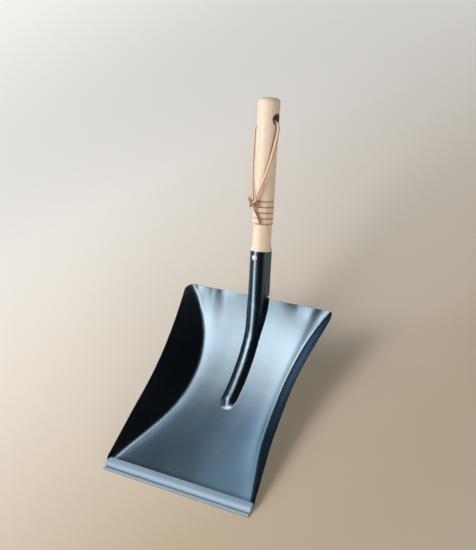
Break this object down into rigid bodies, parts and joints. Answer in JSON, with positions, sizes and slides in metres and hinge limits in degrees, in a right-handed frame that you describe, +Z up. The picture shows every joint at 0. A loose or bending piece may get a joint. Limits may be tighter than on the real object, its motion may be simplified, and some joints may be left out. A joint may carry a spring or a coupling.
{
  "type": "dustpan",
  "caption": "Hand dustpan of pressed sheet steel with curved side walls, a push-on front lip, a turned wooden handle in a rolled socket and a leather hanging lace.",
  "frame": {"origin": "on the ground, under the middle of the box round the dustpan without its lace", "axes": "+X across the pan, +Y from the front lip back to the handle, +Z up; the flat front of the floor lies on the ground"},
  "size_m": [0.224, 0.416, 0.2531],
  "materials": {
    "sheet_steel": "blue-black lacquer, satin",
    "lip": "blue-black, satin",
    "beech": "turned beech, clear satin",
    "rivet": "bright",
    "lace": "undyed leather"
  },
  "bodies": {
    "root": {"pan": "sheet_steel", "front_lip": "lip", "handle": "beech", "socket_rivet": "rivet", "lace_right_strand": "lace", "lace_left_strand": "lace", "lace_knot": "lace", "lace_long_tail": "lace", "lace_short_tail": "lace"}
  },
  "joints": []
}
